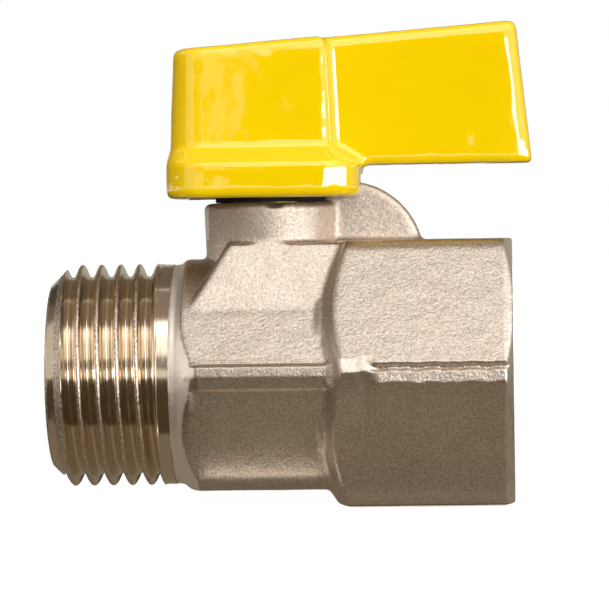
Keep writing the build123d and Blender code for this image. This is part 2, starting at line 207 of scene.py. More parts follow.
def flag(name, first, last, low, high, code):
    """An upright card between two places on plan, in millimetres, seen only in mirrors."""
    first, last = Vector(first), Vector(last)
    run = last - first
    sheet = flat_sheet(name, run.length * MM, (high - low) * MM)
    sheet.location = Vector((*(first + last) / 2, (low + high) / 2)) * MM
    sheet.rotation_euler = (math.pi / 2, 0, math.atan2(run.y, run.x))
    sheet.visible_camera = False
    sheet.visible_diffuse = False
    sheet.visible_shadow = False
    sheet.data.materials.append(glowing(name, code, 1.0, 1.0))


def soft_light(name, azimuth, elevation, wide, tall, radiance):
    """A panel of light round the valve, as bright all over as the radiance says."""
    light = bpy.data.lights.new(name, "AREA")
    light.shape = "RECTANGLE"
    light.size, light.size_y = across(wide, STAGE_DISTANCE), across(tall, STAGE_DISTANCE)
    light.energy = radiance * math.pi * light.size * light.size_y
    panel = bpy.data.objects.new(name, light)
    bpy.context.scene.collection.objects.link(panel)
    faces_valve(panel, azimuth, elevation, STAGE_DISTANCE)


floor = flat_sheet("floor", FLOOR_SIZE, FLOOR_SIZE)
floor.location.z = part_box("valve_body")[0].z
pale = bpy.data.materials.new("pale_floor")
pale.use_nodes = True
tree = pale.node_tree
tree.nodes.clear()
glow = add(tree, "ShaderNodeMath", {0: see_background(tree), 1: FLOOR_GLOW}, operation="MULTIPLY")
shine = add(tree, "ShaderNodeEmission", {"Strength": glow})
paper = add(tree, "ShaderNodeBsdfDiffuse", {"Color": colour(FLOOR_WHITE)})
add(tree, "ShaderNodeOutputMaterial", {"Surface": add(tree, "ShaderNodeAddShader", {0: shine, 1: paper})})
floor.data.materials.append(pale)

world = bpy.data.worlds.new("white")
world.use_nodes = True
bpy.context.scene.world = world
tree = world.node_tree
tree.nodes.clear()
strength = {"Value": see_background(tree), "To Min": WORLD_FILL, "To Max": 1.0}
strength = add(tree, "ShaderNodeMapRange", strength)
background = add(tree, "ShaderNodeBackground", {"Color": colour("#FFFFFF"), "Strength": strength})
add(tree, "ShaderNodeOutputWorld", {"Surface": background})

floor_card("dark_floor", (0, 0), 900, 900, 0.2, "#4E4230")
floor_card("dim_floor", (0, 0), 80, 25, 0.3, "#827766")
floor_card("body_floor", (9, -19), 34, 14, 0.3, "#8C8068")
floor_card("waist_card", (-1.0, -8.6), 11, 0.8, 0.4, "#FFF4E8", 2.2)
floor_card("hex_foot_card", (15, -7.9), 18, 1.8, 0.4, "#8E8373")
flag("lever_flag", (FLAG_EDGE + len(FLAG_GRADES) * FLAG_STEP, FLAG_Y), (34, FLAG_Y), 26, 54, "#0C0A08")
for number, code in enumerate(FLAG_GRADES):
    edge = FLAG_EDGE + number * FLAG_STEP
    flag(f"lever_flag_edge_{number}", (edge, FLAG_Y), (edge + FLAG_STEP, FLAG_Y), 26, 54, code)
flag("corner_flag", (-70, FLAG_Y), (-20.5, FLAG_Y), 24, 54, "#6A635B")
flag("left_flag", (-40, -28), (-40, 45), 18.3, 46, "#4A453E")
flag("skirt_flag", (-23, FLAG_Y), (26, FLAG_Y), 16.9, 26, "#0C0A08")
flag("tip_flag", (30, -26), (44, -3), 23.5, 40, "#FFFFFF")
card("left_card", -87, 16, 50, 64, "#D6CEC4", fill=1.7)
card("half_left_card", -33, 16, 57, 64, "#EEE6DC", fill=1.4)
card("top_card", 0, 80, 110, 40, "#95897B", fill=3.5)
card("right_card", 102, 34, 70, 70, "#A4978A")
card("rear_card", 180, 51, 120, 54, "#766A5C", fill=3.0)
card("low_rear_card", 180, 9, 120, 30, "#B0ADA0", fill=2.5)
soft_light("front_bank", 31, 32, 68, 36, 0.92)
soft_light("upper_bank", 31, 57, 68, 14, 1.42)
soft_light("right_strip", 45, 4.3, 74, 9.2, 9.8)
soft_light("left_strip", -86, 4, 8, 30, 1.6)

# %% [markdown]
# ## Finishes
#
# The body is brass, hot forged and then blasted with grit, so its skin is a field of tiny facets. A thin
# nickel plate turns its yellow into a warm grey. The threaded end is the same plated brass, but cut on a
# lathe, so it is smooth along the cut. The lever is a zinc casting under thick glossy paint.
# Where a lathe or a trimming tool has touched the forging, an attribute named cut smooths the facets away.
# Another, named coarse, marks the boss and the lug, where the blasted skin is rougher.


# %% Forged and blasted brass under nickel plate
# Real grit leaves finer marks than this. They are drawn as coarse as they need to be to show.
GRIT = 0.21
PITS = 0.45
STAIN = 5.0
FACET_DEPTH = 0.027
GRIT_LOW = 0.3
GRIT_HIGH = 0.7
PIT_SHADE = 0.62
CUT_FACETS = 0.06
CUT_ROUGHNESS = 0.45
COARSE_ROUGHNESS = 0.17
# A Mix node takes two numbers in its sockets 2 and 3, and two colours in these.
FIRST, SECOND = 6, 7


def new_finish(name):
    """A material with one Principled shader, and the place of each point on the piece."""
    finish = bpy.data.materials.new(name)
    finish.use_nodes = True
    tree = finish.node_tree
    return finish, tree, tree.nodes["Principled BSDF"], add(tree, "ShaderNodeTexCoord").outputs["Object"]


def per_mm(size):
    """The scale at which a noise has lumps of about a size in millimetres."""
    return 1 / (size * MM)


def forged_nickel_plated_brass():
    """Blasting leaves a sparkle of facets, and the plate keeps a little of the brass's warmth."""
    finish, tree, shader, place = new_finish("forged_nickel_plated_brass_blasted")
    cut = add(tree, "ShaderNodeAttribute", attribute_name="cut").outputs["Fac"]
    coarse = add(tree, "ShaderNodeAttribute", attribute_name="coarse").outputs["Fac"]
    grit = {"Vector": place, "Scale": per_mm(GRIT), "Detail": 2.0, "Roughness": 0.55}
    grit = add(tree, "ShaderNodeTexNoise", grit)
    pits = add(tree, "ShaderNodeTexNoise", {"Vector": place, "Scale": per_mm(PITS), "Detail": 2.0})
    stain = add(tree, "ShaderNodeTexNoise", {"Vector": place, "Scale": per_mm(STAIN), "Detail": 4.0})
    tones = {"Factor": stain, FIRST: colour("#D8C7B6"), SECOND: colour("#E5D7C9")}
    tones = add(tree, "ShaderNodeMix", tones, data_type="RGBA")
    specks = {"Value": grit, "From Min": GRIT_LOW, "From Max": GRIT_HIGH, "To Min": PIT_SHADE}
    specks = add(tree, "ShaderNodeMapRange", specks)
    tones = {"Factor": 1.0, FIRST: tones.outputs[2], SECOND: specks}
    tones = add(tree, "ShaderNodeMix", tones, data_type="RGBA", blend_type="MULTIPLY")
    tones = {"Factor": cut, FIRST: tones.outputs[2], SECOND: colour("#F8F2EA")}
    tones = add(tree, "ShaderNodeMix", tones, data_type="RGBA")
    tree.links.new(tones.outputs[2], shader.inputs["Base Color"])
    shader.inputs["Metallic"].default_value = 1.0
    rough = add(tree, "ShaderNodeMapRange", {"Value": pits, "To Min": 0.3, "To Max": 0.46})
    rough = {0: coarse, 1: COARSE_ROUGHNESS, 2: rough}
    rough = add(tree, "ShaderNodeMath", rough, operation="MULTIPLY_ADD")
    rough = add(tree, "ShaderNodeMix", {"Factor": cut, 2: rough, 3: CUT_ROUGHNESS})
    tree.links.new(rough.outputs[0], shader.inputs["Roughness"])
    rest = add(tree, "ShaderNodeMapRange", {"Value": cut, "To Min": 1.0, "To Max": CUT_FACETS})
    wave = add(tree, "ShaderNodeBump", {"Strength": rest, "Distance": FACET_DEPTH * MM, "Height": pits})
    bump = {"Strength": rest, "Distance": FACET_DEPTH * MM, "Height": grit, "Normal": wave}
    tree.links.new(add(tree, "ShaderNodeBump", bump).outputs[0], shader.inputs["Normal"])
    return finish


# %% [markdown]
# The threaded end is cut from bar. A cutting tool leaves fine rings along the cut, so the noise is drawn out
# round the axis. The crests of the thread keep the skin of the bar: an attribute named skin says where.

# %% Turned brass under nickel plate
TOOL_MARK = 0.22
SKIN_GRAIN = 0.18
SMEAR = 0.02
GRAIN_LOW = 0.35
GRAIN_HIGH = 0.65
MARK_DEPTH = 0.004
GRAIN_DEPTH = 0.06


def turned_nickel_plated_brass():
    """Grooves are cut bright and show the brass's warmth. Crests keep the bar's dull, grainy skin."""
    finish, tree, shader, place = new_finish("turned_nickel_plated_brass")
    skin = add(tree, "ShaderNodeAttribute", attribute_name="skin").outputs["Fac"]
    along = add(tree, "ShaderNodeMapping", {"Vector": place, "Scale": (1.0, SMEAR, SMEAR)})
    rings = add(tree, "ShaderNodeTexNoise", {"Vector": along, "Scale": per_mm(TOOL_MARK), "Detail": 3.0})
    grain = add(tree, "ShaderNodeTexNoise", {"Vector": place, "Scale": per_mm(SKIN_GRAIN), "Detail": 2.0})
    shares = {"Value": grain, "From Min": GRAIN_LOW, "From Max": GRAIN_HIGH}
    shares = add(tree, "ShaderNodeMapRange", shares)
    grains = {"Factor": shares, FIRST: colour("#A8907E"), SECOND: colour("#EFE4DA")}
    grains = add(tree, "ShaderNodeMix", grains, data_type="RGBA")
    tones = {"Factor": skin, FIRST: colour("#E0D1BC"), SECOND: grains.outputs[2]}
    tones = add(tree, "ShaderNodeMix", tones, data_type="RGBA")
    tree.links.new(tones.outputs[2], shader.inputs["Base Color"])
    shader.inputs["Metallic"].default_value = 1.0
    bright = add(tree, "ShaderNodeMapRange", {"Value": rings, "To Min": 0.08, "To Max": 0.2})
    dull = add(tree, "ShaderNodeMapRange", {"Value": grain, "To Min": 0.2, "To Max": 0.5})
    rough = add(tree, "ShaderNodeMix", {"Factor": skin, 2: bright, 3: dull})
    tree.links.new(rough.outputs[0], shader.inputs["Roughness"])
    height = add(tree, "ShaderNodeMix", {"Factor": skin, 2: rings, 3: grain})
    depth = {"Value": skin, "To Min": MARK_DEPTH * MM, "To Max": GRAIN_DEPTH * MM}
    depth = add(tree, "ShaderNodeMapRange", depth)
    bump = add(tree, "ShaderNodeBump", {"Strength": 1.0, "Distance": depth, "Height": height})
    tree.links.new(bump.outputs[0], shader.inputs["Normal"])
    return finish


# %% [markdown]
# The lever is sprayed with enamel. A clear coat over the colour gives its hard gloss, and a faint bump gives
# the orange peel of sprayed paint.

# %% Glossy yellow paint on a casting
PEEL = 1.4
PEEL_DEPTH = 0.035
DRIFT = 6.0


def yellow_painted_casting():
    """Thick enamel: a deep even yellow, a hard gloss, and the faint orange peel of sprayed paint."""
    finish, tree, shader, place = new_finish("yellow_enamel_on_casting")
    drift = add(tree, "ShaderNodeTexNoise", {"Vector": place, "Scale": per_mm(DRIFT), "Detail": 2.0})
    tones = {"Factor": drift, FIRST: colour("#EEC800"), SECOND: colour("#F4D000")}
    tones = add(tree, "ShaderNodeMix", tones, data_type="RGBA")
    tree.links.new(tones.outputs[2], shader.inputs["Base Color"])
    shader.inputs["Roughness"].default_value = 0.06
    shader.inputs["Coat Weight"].default_value = 1.0
    shader.inputs["Coat Roughness"].default_value = 0.03
    shader.inputs["Coat IOR"].default_value = 1.55
    peel = add(tree, "ShaderNodeTexNoise", {"Vector": place, "Scale": per_mm(PEEL), "Detail": 1.0})
    bump = add(tree, "ShaderNodeBump", {"Strength": 0.5, "Distance": PEEL_DEPTH * MM, "Height": peel})
    tree.links.new(bump.outputs[0], shader.inputs["Normal"])
    tree.links.new(bump.outputs[0], shader.inputs["Coat Normal"])
    return finish


# %% [markdown]
# The pieces inside are seen only through the bores and the recess. One simple finish serves them all, with
# two close tones, a range of roughness and a fine mark whose size is given in millimetres.

# %% Finishes of the inner pieces
FINE_MARK_DEPTH = 0.01


def inner_finish(name, dark, light, metallic, rough_low, rough_high, mark):
    """A finish with two close tones and a fine mark, for the pieces inside the valve."""
    finish, tree, shader, place = new_finish(name)
    marks = add(tree, "ShaderNodeTexNoise", {"Vector": place, "Scale": per_mm(mark), "Detail": 3.0})
    tones = {"Factor": marks, FIRST: colour(dark), SECOND: colour(light)}
    tones = add(tree, "ShaderNodeMix", tones, data_type="RGBA")
    tree.links.new(tones.outputs[2], shader.inputs["Base Color"])
    shader.inputs["Metallic"].default_value = metallic
    rough = add(tree, "ShaderNodeMapRange", {"Value": marks, "To Min": rough_low, "To Max": rough_high})
    tree.links.new(rough.outputs[0], shader.inputs["Roughness"])
    bump = add(tree, "ShaderNodeBump", {"Strength": 0.4, "Distance": FINE_MARK_DEPTH * MM, "Height": marks})
    tree.links.new(bump.outputs[0], shader.inputs["Normal"])
    return finish


finishes = {
    "forged_nickel_plated_brass": forged_nickel_plated_brass(),
    "turned_nickel_plated_brass": turned_nickel_plated_brass(),
    "yellow_painted_casting": yellow_painted_casting(),
    "chrome_plated_brass": inner_finish(
        "chrome_plated_brass_polished", "#D3D4D8", "#E2E3E6", 1.0, 0.05, 0.12, 1.2
    ),
    "ptfe": inner_finish("ptfe_moulded", "#E4E2DA", "#F1F0EA", 0.0, 0.4, 0.55, 0.6),
    "turned_brass": inner_finish("brass_turned", "#B8923E", "#CFAA58", 1.0, 0.2, 0.34, 0.3),
    "nitrile_rubber": inner_finish("nitrile_rubber_moulded", "#161616", "#232323", 0.0, 0.5, 0.7, 0.4),
    "zinc_plated_steel": inner_finish("steel_zinc_plated", "#A9AEB3", "#C6CACD", 1.0, 0.22, 0.36, 0.5),
}
for part in frame["record"]["subparts"]:
    slots = nodes[part["node"]].data.materials
    slots.clear()
    slots.append(finishes[part["material_slot"]])
print("finishes", len(finishes))

# %% [markdown]
# ## Turned shapes
#
# The threaded end and the bores are made on a lathe, so a lathe makes them here too: an outline of places
# along the axis and radii is spun round. An outline that closes on itself gives a ring with a hole through
# it, and an open one gives a plug with flat ends, which serves as a drill.


# %% A lathe and a few helpers for meshes
def new_piece(name, mesh):
    """A new object at the origin that holds a mesh."""
    piece = bpy.data.objects.new(name, mesh)
    bpy.context.scene.collection.objects.link(piece)
    return piece


def lathe(name, outline, steps, closed, turn=Matrix()):
    """Spin (along, radius) points in millimetres about X, and turn the result if another axis is wanted."""
    shape = bmesh.new()
    circle = [2 * math.pi * step / steps for step in range(steps)]
    rings = []
    for along, radius in outline:
        spots = [(along, -math.sin(angle) * radius, math.cos(angle) * radius) for angle in circle]
        rings.append([shape.verts.new(Vector(spot) * MM) for spot in spots])
    pairs = list(zip(rings, rings[1:]))
    if closed:
        pairs.append((rings[-1], rings[0]))
    else:
        shape.faces.new(rings[0])
        shape.faces.new(rings[-1])
    for first, second in pairs:
        for step in range(steps):
            after = (step + 1) % steps
            shape.faces.new((first[step], first[after], second[after], second[step]))
    bmesh.ops.recalc_face_normals(shape, faces=shape.faces)
    shape.transform(turn)
    mesh = bpy.data.meshes.new(name)
    shape.to_mesh(mesh)
    shape.free()
    return new_piece(name, mesh)


def settled(piece):
    """Turn what a piece's modifiers make into its own plain mesh, and remove the modifiers."""
    view = bpy.context.evaluated_depsgraph_get()
    mesh = bpy.data.meshes.new_from_object(piece.evaluated_get(view))
    piece.modifiers.clear()
    piece.data = mesh
    return piece


def points_of(mesh):
    """Every point of a mesh as columns x, y and z, in millimetres."""
    flat = np.empty(len(mesh.vertices) * 3)
    mesh.vertices.foreach_get("co", flat)
    return flat.reshape(-1, 3).T / MM


def put_points(mesh, x, y, z):
    """Move every point of a mesh to new places in millimetres."""
    mesh.vertices.foreach_set("co", (np.stack((x, y, z), axis=1) * MM).ravel())
    mesh.update()


def evenly(first, last, step):
    """Places from first to last, about a step apart, with both ends."""
    count = max(1, round(abs(last - first) / step))
    return [first + (last - first) * number / count for number in range(count + 1)]


# %% [markdown]
# ## Pipe thread
#
# A half inch pipe thread has 14 turns to the inch, flanks 55 degrees apart, and round crests and roots.
# It could be a swept curve, but a rule is simpler: every point on the blank knows how far along the screw it
# is, and moves in to the thread's radius there if it stands further out. A die does just that to a bar.

# %% Thread as Geometry Nodes
THREAD_PITCH = 25.4 / 14
THREAD_DEPTH = 0.6403 * THREAD_PITCH
CREST_SHARE = 0.02
ROOT_SHARE = 0.46


def new_tree(name, numbers):
    """An empty Geometry Nodes tree that takes a shape, some named numbers and a finish."""
    tree = bpy.data.node_groups.new(name, "GeometryNodeTree")
    sides = tree.interface
    sides.new_socket("Geometry", in_out="INPUT", socket_type="NodeSocketGeometry")
    for label in numbers:
        sides.new_socket(label, in_out="INPUT", socket_type="NodeSocketFloat")
    sides.new_socket("Finish", in_out="INPUT", socket_type="NodeSocketMaterial")
    sides.new_socket("Geometry", in_out="OUTPUT", socket_type="NodeSocketGeometry")
    return tree, add(tree, "NodeGroupInput").outputs


def close_tree(tree, shaped, finish):
    """End a tree: real geometry, dressed in its finish."""
    real = add(tree, "GeometryNodeRealizeInstances", {"Geometry": shaped})
    dressed = add(tree, "GeometryNodeSetMaterial", {"Geometry": real, "Material": finish})
    add(tree, "NodeGroupOutput", {"Geometry": dressed})


def thread_tree():
    """Cut a right-handed screw thread into anything turned about X."""
    numbers = ("Major radius", "Depth", "Pitch", "Crest place", "Thread start", "Thread end", "Run-out")
    tree, given = new_tree("pipe_thread", numbers)
    place = add(tree, "GeometryNodeInputPosition")
    parts = add(tree, "ShaderNodeSeparateXYZ", {0: place}).outputs
    flipped = add(tree, "ShaderNodeMath", {0: parts["Y"], 1: -1.0}, operation="MULTIPLY")
    angle = add(tree, "ShaderNodeMath", {0: flipped, 1: parts["Z"]}, operation="ARCTAN2")
    share_of_turn = add(tree, "ShaderNodeMath", {0: angle, 1: 2 * math.pi}, operation="DIVIDE")
    travelled = add(tree, "ShaderNodeMath", {0: parts["X"], 1: given["Crest place"]}, operation="SUBTRACT")
    in_pitches = add(tree, "ShaderNodeMath", {0: travelled, 1: given["Pitch"]}, operation="DIVIDE")
    turns = add(tree, "ShaderNodeMath", {0: in_pitches, 1: share_of_turn}, operation="SUBTRACT")
    groove = add(tree, "ShaderNodeMath", {0: turns, 1: 0.5}, operation="PINGPONG")
    rounded = {"Value": groove, "From Min": CREST_SHARE, "From Max": ROOT_SHARE}
    rounded = add(tree, "ShaderNodeMapRange", rounded, interpolation_type="SMOOTHSTEP")
    last = add(tree, "ShaderNodeMath", {0: given["Thread end"], 1: given["Run-out"]}, operation="SUBTRACT")
    ending = {"Value": parts["X"], "From Min": last, "From Max": given["Thread end"]}
    ending = add(tree, "ShaderNodeMapRange", ending | {"To Min": 1.0, "To Max": 0.0})
    first = add(tree, "ShaderNodeMath", {0: given["Thread start"], 1: given["Run-out"]}, operation="ADD")
    opening = {"Value": parts["X"], "From Min": given["Thread start"], "From Max": first}
    opening = add(tree, "ShaderNodeMapRange", opening)
    fade = add(tree, "ShaderNodeMath", {0: ending, 1: opening}, operation="MULTIPLY")
    share = add(tree, "ShaderNodeMath", {0: rounded, 1: fade}, operation="MULTIPLY")
    depth = add(tree, "ShaderNodeMath", {0: share, 1: given["Depth"]}, operation="MULTIPLY")
    left = add(tree, "ShaderNodeMath", {0: given["Major radius"], 1: depth}, operation="SUBTRACT")
    flat = add(tree, "ShaderNodeVectorMath", {0: place, 1: (0, 1, 1)}, operation="MULTIPLY")
    radius = add(tree, "ShaderNodeVectorMath", {0: flat}, operation="LENGTH")
    cut = add(tree, "ShaderNodeMath", {0: radius, 1: left}, operation="MINIMUM")
    inside = add(tree, "FunctionNodeCompare", {0: fade, 1: 0.0}, operation="GREATER_THAN")
    chosen = {"Switch": inside, "False": radius, "True": cut}
    chosen = add(tree, "GeometryNodeSwitch", chosen, input_type="FLOAT")
    shrink = add(tree, "ShaderNodeMath", {0: chosen, 1: radius}, operation="DIVIDE")
    shrink = add(tree, "ShaderNodeCombineXYZ", {"X": 1.0, "Y": shrink, "Z": shrink})
    goal = add(tree, "ShaderNodeVectorMath", {0: place, 1: shrink}, operation="MULTIPLY")
    shaped = add(tree, "GeometryNodeSetPosition", {"Geometry": given["Geometry"], "Position": goal})
    close_tree(tree, shaped, given["Finish"])
    return tree


def run_tree(piece, tree, values):
    """Give a piece a Geometry Nodes modifier, set its inputs by identifier, and keep the result."""
    modifier = piece.modifiers.new(tree.name, "NODES")
    modifier.node_group = tree
    names = {item.name: item.identifier for item in tree.interface.items_tree if item.in_out == "INPUT"}
    for name, value in values.items():
        modifier[names[name]] = value
    piece.update_tag()
    return settled(piece)


pipe_thread = thread_tree()
print("thread nodes", len(pipe_thread.nodes))

# %% [markdown]
# ## Male end
#
# The end piece is turned from bar: an outside thread with a chamfered start, a plain collar where the tool
# ran out, and a spigot that screws into the body. It is one closed outline, finely divided under the thread.

# %% Male end
mounts = {mount["name"]: mount for mount in frame["record"]["mounts"]}
THREAD_RADIUS = mounts["male_thread"]["dims"]["r_mm"]
MALE_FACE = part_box("male_end")[0].x / MM
MALE_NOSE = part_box("male_end")[1].x / MM
MALE_CHAMFER = 1.85
MALE_BORE = 6.75
MALE_BORE_DEPTH = 9.4
MOUTH_EDGE = 0.35
PASSAGE = 5.25
JOINT_PLACE = -9.4
JOINT_LAP = 0.15
COLLAR_START = -10.3
COLLAR_RADIUS = 10.4
SPIGOT_RADIUS = 9.0
SEAT_POCKET_RADIUS = 7.65
SEAT_POCKET_DEPTH = 7.55
CREST_PLACE = -18.06
RUN_OUT = 0.5
CREST_SKIN = 0.09
LAND = 0.9
RIM = 0.22
THREAD_STEP = 0.09
THREAD_SIDES = 300
THREAD_SHARP = 40

chamfer_end = MALE_FACE + MALE_CHAMFER
bore_end = MALE_FACE + MALE_BORE_DEPTH
on_chamfer = evenly(MALE_FACE, chamfer_end, THREAD_STEP)
on_thread = evenly(chamfer_end, COLLAR_START - THREAD_STEP, THREAD_STEP)
outline = [(MALE_FACE, MALE_BORE + MOUTH_EDGE)]
outline += [(place, THREAD_RADIUS - chamfer_end + place) for place in on_chamfer]
outline += [(place, THREAD_RADIUS) for place in on_thread[1:]]
outline += [(COLLAR_START, COLLAR_RADIUS), (JOINT_PLACE + JOINT_LAP, COLLAR_RADIUS)]
outline += [(JOINT_PLACE + JOINT_LAP, SPIGOT_RADIUS)]
outline += [(MALE_NOSE, SPIGOT_RADIUS), (MALE_NOSE, SEAT_POCKET_RADIUS)]
outline += [(-SEAT_POCKET_DEPTH, SEAT_POCKET_RADIUS), (-SEAT_POCKET_DEPTH, PASSAGE)]
outline += [(bore_end + MALE_BORE - PASSAGE, PASSAGE), (bore_end, MALE_BORE)]
outline += [(MALE_FACE + MOUTH_EDGE, MALE_BORE)]

male_end = lathe("threaded_male_end", outline, THREAD_SIDES, closed=True)
male_thread_sizes = {
    "Major radius": THREAD_RADIUS * MM,
    "Depth": THREAD_DEPTH * MM,
    "Pitch": THREAD_PITCH * MM,
    "Crest place": CREST_PLACE * MM,
    "Thread start": (MALE_FACE - RUN_OUT) * MM,
    "Thread end": (COLLAR_START - THREAD_STEP) * MM,
    "Run-out": RUN_OUT * MM,
    "Finish": finishes["turned_nickel_plated_brass"],
}
run_tree(male_end, pipe_thread, male_thread_sizes)
x, y, z = points_of(male_end.data)
blank = THREAD_RADIUS - np.clip(chamfer_end - x, 0, None)
on_land = (x > chamfer_end - LAND) | (x < MALE_FACE + RIM)
uncut = (np.hypot(y, z) > blank - CREST_SKIN) & (x < COLLAR_START - LAND) & on_land
skin = male_end.data.attributes.new("skin", "FLOAT", "POINT")
skin.data.foreach_set("value", uncut.astype(float))
male_end.data.set_sharp_from_angle(angle=math.radians(THREAD_SHARP))
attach(male_end, "body")
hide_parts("male_end")
print("male end faces", len(male_end.data.polygons))

# %% [markdown]
# ## Forged body
#
# A forging has no sharp inner corners: hot brass flows round the die. A bevel on every edge of the solid
# would break where many small faces meet, so the body is rebuilt instead. Plugs close its bores, a voxel
# remesh joins all in one skin, smoothing lets the skin flow, and a drill then cuts the bores again, sharp.

# %% Forged body: one soft skin
VOXEL = 0.21
FLOW_ROUNDS = 3
SEAM_ROUNDS = 2
FLOW_SHARE = 0.5
PLUG_WALL = 0.6
PLUG_SIDES = 96
STEM_PLUG_SIDES = 64
PORT_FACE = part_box("valve_body")[1].x / MM
PORT_FLOOR = 11.1
PORT_RADIUS = mounts["female_port"]["dims"]["r_mm"]
PORT_CHAMFER = 0.7
JOINT_BORE = 9.05
CAVITY_RADIUS = 8.35
CAVITY_REACH = 4.7
STEM_BORE = 3.55
STEM_POCKET = 4.55
STEM_POCKET_TOP = 10.29
BOSS_FACE = 16.15
BEYOND = 1.0
ABOUT_Z = Matrix.Rotation(-math.pi / 2, 4, "Y")


def merged_copy(node):
    """A copy of a node's mesh with its loose triangles joined."""
    shape = bmesh.new()
    shape.from_mesh(nodes[node].data)
    bmesh.ops.remove_doubles(shape, verts=shape.verts, dist=MM / 1000)
    mesh = bpy.data.meshes.new(node + "_skin")
    shape.to_mesh(mesh)
    shape.free()
    return mesh


def joined(name, meshes):
    """One mesh out of several."""
    shape = bmesh.new()
    for mesh in meshes:
        shape.from_mesh(mesh)
    mesh = bpy.data.meshes.new(name)
    shape.to_mesh(mesh)
    shape.free()
    return mesh


def remeshed(piece, voxel):
    """Rebuild a piece as one even skin of small squares."""
    skin = piece.modifiers.new("skin", "REMESH")
    skin.mode = "VOXEL"
    skin.voxel_size = voxel * MM
    return settled(piece)


def flowed(piece, rounds, share):
    """Let the skin settle: each point moves part of the way to the middle of its neighbours."""
    flow = piece.modifiers.new("flow", "SMOOTH")
    flow.factor = share
    flow.iterations = rounds
    return settled(piece)


def triangles_of(mesh):
    """How many triangles the faces of a mesh make."""
    return sum(len(face.vertices) - 2 for face in mesh.polygons)


def thinned(piece, most):
    """Merge the smallest faces where the skin is flat, until no more than so many triangles are left."""
    thin = piece.modifiers.new("thin", "DECIMATE")
    thin.ratio = min(1.0, most / triangles_of(piece.data))
    return settled(piece)


def drilled(piece, drill):
    """Cut a drill out of a piece, and remove the drill."""
    cut = piece.modifiers.new("cut", "BOOLEAN")
    cut.operation = "DIFFERENCE"
    cut.solver = "MANIFOLD"
    cut.object = drill
    settled(piece)
    bpy.data.objects.remove(drill)
    return piece


port_plug = [(CAVITY_REACH, PORT_RADIUS + PORT_CHAMFER), (PORT_FACE, PORT_RADIUS + PORT_CHAMFER)]
chamber_plug = [(JOINT_PLACE, JOINT_BORE + PLUG_WALL), (CAVITY_REACH + PLUG_WALL, JOINT_BORE + PLUG_WALL)]
stem_plug = [(CAVITY_REACH, STEM_POCKET + PLUG_WALL / 2), (BOSS_FACE, STEM_POCKET + PLUG_WALL / 2)]
plugs = [
    lathe("port_plug", port_plug, PLUG_SIDES, closed=False),
    lathe("chamber_plug", chamber_plug, PLUG_SIDES, closed=False),
    lathe("stem_plug", stem_plug, STEM_PLUG_SIDES, closed=False, turn=ABOUT_Z),
]
filled = [merged_copy("valve_body")] + [plug.data for plug in plugs]
body = new_piece("forged_body", joined("forged_body", filled))
for plug in plugs:
    bpy.data.objects.remove(plug)
remeshed(body, VOXEL)
flowed(body, FLOW_ROUNDS, FLOW_SHARE)
print("body skin faces", len(body.data.polygons))

# %% [markdown]
# The two halves of the die meet along the front and back corners. The metal that squeezed out between them
# was sheared off, which leaves a burnished lip at one end, and a groove over a rough band along the rest.
# The seam is too fine for the skin's squares, so those near it are divided first. Each point there then
# moves in to a profile, a list of heights and depths, and a wave along the seam keeps it from being straight.

# %% Forged body: the trimmed seam
HEX_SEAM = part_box("valve_body")[1].y / MM
MIDDLE_SEAM = 12.25
HEX_FROM = 6.3
MIDDLE_FROM = -7.3
MIDDLE_TO = 5.7
SEAM_ZONE = 2.0
SEAM_END = 2.4
SEAM_FOOT = 4.4
BURR_END = 9.8
SEAM_FADE = 0.5
LINE_DEPTH = 0.18
LINE_PLACE = 1.2
LINE_HALF = 0.25
STEP_DEPTH = 0.42
STEP_TOP = 0.05
STEP_FULL = -1.25
STEP_FOOT = -3.4
RAGGED = 0.1
# Each wave has a size, a rate and a start
WAVES = [(0.5, 1.9, 0.6), (0.3, 3.1, 2.0), (0.2, 4.7, 0.0)]
# Each point of a profile has a height and a depth
SHEARED = [(-SEAM_FOOT, 1.96), (0.45, 0.05), (1.8, 0.5)]
TORN = [(-SEAM_FOOT, 1.96), (-0.6, 0.06), (0.5, 0.05), (0.75, 0.52), (1.35, 0.12), (1.8, 0.4)]
NICK_PLACE = 0.6
NICK_WIDTH = 1.9
NICK_DEPTH = 0.35
NICK_REACH = 5.2
NICK_FOOT = 0.7
NICK_RIM = 0.1


def hump(value, centre, half_width):
    """A smooth rise to one at a centre, nothing beyond its half width."""
    return np.clip(1 - ((value - centre) / half_width) ** 2, 0, 1)


def slide(value, first, last):
    """From nothing at the first place to one at the last."""
    return np.clip((value - first) / (last - first), 0, 1)


def wander(x):
    """An uneven wave along the seam, between about minus one and one."""
    return sum(size * np.sin(rate * x + start) for size, rate, start in WAVES)


def divided_seam(mesh):
    """Halve the squares of the skin along the front and back corners."""
    shape = bmesh.new()
    shape.from_mesh(mesh)
    edges = []
    for edge in shape.edges:
        middle = (edge.verts[0].co + edge.verts[1].co) / (2 * MM)
        reach = HEX_SEAM if middle.x > (HEX_FROM + MIDDLE_TO) / 2 else MIDDLE_SEAM
        if abs(middle.z) < SEAM_END and abs(middle.y) > reach - SEAM_ZONE / 2:
            edges.append(edge)
    bmesh.ops.subdivide_edges(shape, edges=edges, cuts=1, use_grid_fill=True)
    shape.to_mesh(mesh)
    shape.free()


